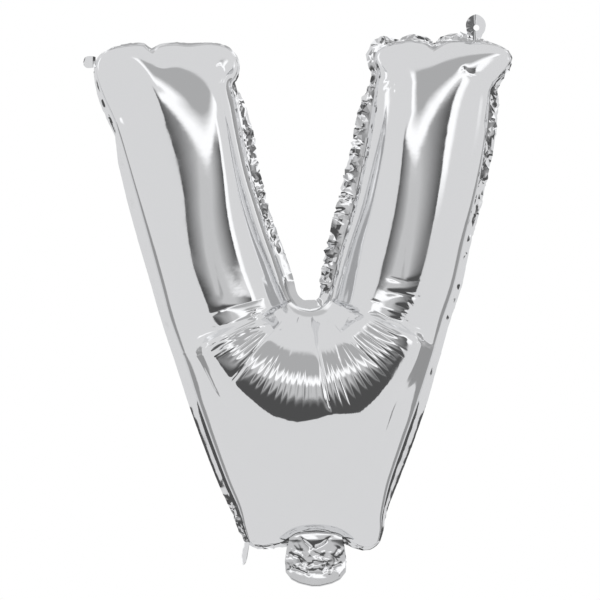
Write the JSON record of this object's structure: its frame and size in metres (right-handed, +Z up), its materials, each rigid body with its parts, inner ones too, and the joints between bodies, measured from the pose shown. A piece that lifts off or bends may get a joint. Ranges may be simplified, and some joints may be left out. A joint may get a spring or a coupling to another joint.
{
  "type": "letter foil balloon",
  "caption": "Inflated silver foil balloon in the shape of a V, with a crinkled sealed edge, small hanging tabs and a filling tail.",
  "frame": {"origin": "middle of the letter, at the foot of the notch between its arms, in the plane of the seam", "axes": "+Z up along the letter, +X to the letter's right as seen from the front, front facing -Y"},
  "size_m": [0.3041, 0.1286, 0.4011],
  "materials": {
    "silver_foil": "mirror-bright metallised film",
    "clear_plastic": "thin clear film"
  },
  "bodies": {
    "letter": {"envelope_front": "silver_foil", "envelope_back": "silver_foil", "seam_margin": "silver_foil"},
    "tab_top_right": {"hang_tab_top_right": "silver_foil"},
    "tab_top_left": {"hang_tab_top_left": "silver_foil"},
    "tab_base_left": {"hang_tab_base_left": "silver_foil"},
    "tail": {"tail_back_film": "silver_foil", "valve_sleeve": "clear_plastic", "tail_front_film": "silver_foil"}
  },
  "joints": [
    {"name": "tab_top_right_fold", "type": "hinge", "parent": "letter", "child": "tab_top_right", "pos_m": [0.11702, 0, 0.18411], "axis": [0.9932, 0, -0.1164], "range_deg": [-80, 80]},
    {"name": "tab_top_left_fold", "type": "hinge", "parent": "letter", "child": "tab_top_left", "pos_m": [-0.15089, 0, 0.16658], "axis": [0.4553, 0, 0.8903], "range_deg": [-80, 80]},
    {"name": "tab_base_left_fold", "type": "hinge", "parent": "letter", "child": "tab_base_left", "pos_m": [-0.04312, 0, -0.17132], "axis": [-0.4438, 0.8829, 0.1532], "range_deg": [-60, 60]},
    {"name": "tail_fold", "type": "hinge", "parent": "letter", "child": "tail", "pos_m": [0.0047, 0, -0.1667], "axis": [1, 0, 0], "range_deg": [-80, 80]}
  ]
}
